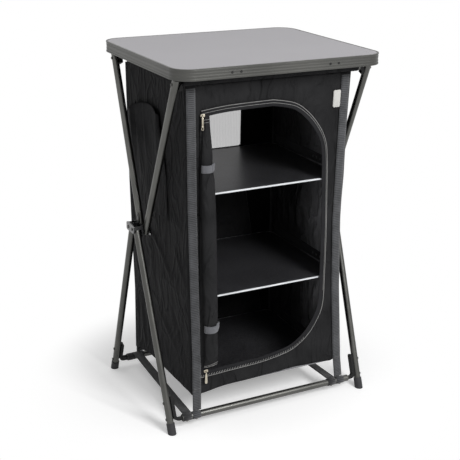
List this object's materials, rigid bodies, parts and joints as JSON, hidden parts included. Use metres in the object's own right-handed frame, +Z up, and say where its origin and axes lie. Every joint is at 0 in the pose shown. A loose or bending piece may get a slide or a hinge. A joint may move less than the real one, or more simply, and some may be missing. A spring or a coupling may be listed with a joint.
{
  "type": "camping cupboard",
  "caption": "Folding camping cupboard: a light worktop over crossed tube frames, with a hanging fabric cabinet, inner shelves, a mesh window and a door rolled up at one side.",
  "frame": {"origin": "on the floor, under the middle of the worktop", "axes": "+Z up, +X to the user's right, -Y to the front with the doorway"},
  "size_m": [0.6572, 0.5204, 1],
  "materials": {
    "worktop_laminate": "light grey matt laminate on board",
    "trim_aluminium": "rolled, brushed, dark grey",
    "tube_aluminium": "anodised, dark grey",
    "moulded_plastic": "injection moulded, black",
    "plated_steel": "zinc plated",
    "cap_rubber": "moulded, dark grey",
    "coated_fabric": "woven polyester with a coated back, near black",
    "window_mesh": "fine knitted mesh, pale grey",
    "grey_webbing": "ribbed woven webbing, grey",
    "tie_tape": "woven tape, mid grey",
    "white_label": "blank woven satin, white",
    "shelf_board": "fine satin grain, black",
    "shelf_edging": "smooth, white",
    "zip_tape": "woven tape with a coil, near black",
    "zip_metal": "cast, satin, warm grey"
  },
  "bodies": {
    "root": {"hub_left": "moulded_plastic", "hub_right": "moulded_plastic", "hub_plates": "plated_steel", "pivot_pins": "plated_steel", "front_panel": "coated_fabric", "back_panel": "coated_fabric", "mesh_window": "window_mesh", "side_panel_left": "coated_fabric", "side_panel_right": "coated_fabric", "roof_panel": "coated_fabric", "floor_panel": "coated_fabric", "side_pocket": "coated_fabric", "care_label": "white_label", "floor_board": "shelf_board", "zip_tape": "zip_tape", "door_roll": "coated_fabric", "roll_ties": "tie_tape", "zip_sliders": "zip_metal", "corner_webbing_front": "grey_webbing", "corner_webbing_rear": "grey_webbing", "base_straps": "grey_webbing"},
    "upper_front": {"upper_leg_front_left": "tube_aluminium", "upper_leg_front_right": "tube_aluminium", "upper_cross_tube_front": "tube_aluminium", "upper_brackets_front": "moulded_plastic", "upper_rivets_front": "plated_steel", "hem_sleeve_front": "coated_fabric"},
    "lower_front": {"lower_leg_front_left": "tube_aluminium", "lower_leg_front_right": "tube_aluminium", "lower_cross_tube_front": "tube_aluminium", "lower_brackets_front": "moulded_plastic", "lower_rivets_front": "plated_steel", "foot_caps_front": "cap_rubber", "webbing_loops_front": "grey_webbing", "loop_screws_front": "plated_steel"},
    "upper_rear": {"upper_leg_rear_left": "tube_aluminium", "upper_leg_rear_right": "tube_aluminium", "upper_cross_tube_rear": "tube_aluminium", "upper_brackets_rear": "moulded_plastic", "upper_rivets_rear": "plated_steel", "hem_sleeve_rear": "coated_fabric"},
    "lower_rear": {"lower_leg_rear_left": "tube_aluminium", "lower_leg_rear_right": "tube_aluminium", "lower_cross_tube_rear": "tube_aluminium", "lower_brackets_rear": "moulded_plastic", "lower_rivets_rear": "plated_steel", "foot_caps_rear": "cap_rubber", "webbing_loops_rear": "grey_webbing", "loop_screws_rear": "plated_steel"},
    "tabletop": {"tabletop_trim": "trim_aluminium", "tabletop_board": "worktop_laminate", "support_rails": "trim_aluminium", "locating_clips": "trim_aluminium", "trim_rivets": "plated_steel"},
    "lower_shelf_body": {"lower_shelf": "shelf_board", "lower_shelf_edge": "shelf_edging"},
    "upper_shelf_body": {"upper_shelf": "shelf_board", "upper_shelf_edge": "shelf_edging"},
    "pull_lower": {"zip_pull_lower": "zip_metal"},
    "pull_upper": {"zip_pull_upper": "zip_metal"}
  },
  "joints": [
    {"name": "lower_front_fold", "type": "hinge", "parent": "root", "child": "lower_front", "pos_m": [0, -0.013, 0.528], "axis": [1, 0, 0], "range_deg": [0, 20]},
    {"name": "lower_rear_fold", "type": "hinge", "parent": "root", "child": "lower_rear", "pos_m": [0, 0.013, 0.528], "axis": [1, 0, 0], "range_deg": [-20, 0]},
    {"name": "upper_front_fold", "type": "hinge", "parent": "root", "child": "upper_front", "pos_m": [0, -0.015, 0.517], "axis": [1, 0, 0], "range_deg": [0, 125]},
    {"name": "upper_rear_fold", "type": "hinge", "parent": "root", "child": "upper_rear", "pos_m": [0, 0.015, 0.517], "axis": [1, 0, 0], "range_deg": [-125, 0]},
    {"name": "upper_shelf_drop", "type": "slide", "parent": "root", "child": "upper_shelf_body", "axis": [0, 0, 1], "range_m": [-0.5325, 0]},
    {"name": "lower_shelf_drop", "type": "slide", "parent": "root", "child": "lower_shelf_body", "axis": [0, 0, 1], "range_m": [-0.2585, 0]},
    {"name": "top_lift", "type": "slide", "parent": "root", "child": "tabletop", "axis": [0, 0, 1], "range_m": [0, 0.25]},
    {"name": "pull_lower_swing", "type": "hinge", "parent": "root", "child": "pull_lower", "pos_m": [-0.207, -0.2095, 0.1585], "axis": [1, 0, 0], "range_deg": [-150, 0]},
    {"name": "pull_upper_swing", "type": "hinge", "parent": "root", "child": "pull_upper", "pos_m": [-0.207, -0.2095, 0.8733], "axis": [1, 0, 0], "range_deg": [-150, 0]}
  ],
  "couplings": [
    {"joint": "lower_rear_fold", "follows": "lower_front_fold", "ratio": -1},
    {"joint": "upper_rear_fold", "follows": "upper_front_fold", "ratio": -1},
    {"joint": "upper_shelf_drop", "follows": "upper_front_fold", "m_per_rad": -0.24385},
    {"joint": "lower_shelf_drop", "follows": "upper_front_fold", "m_per_rad": -0.11826}
  ]
}
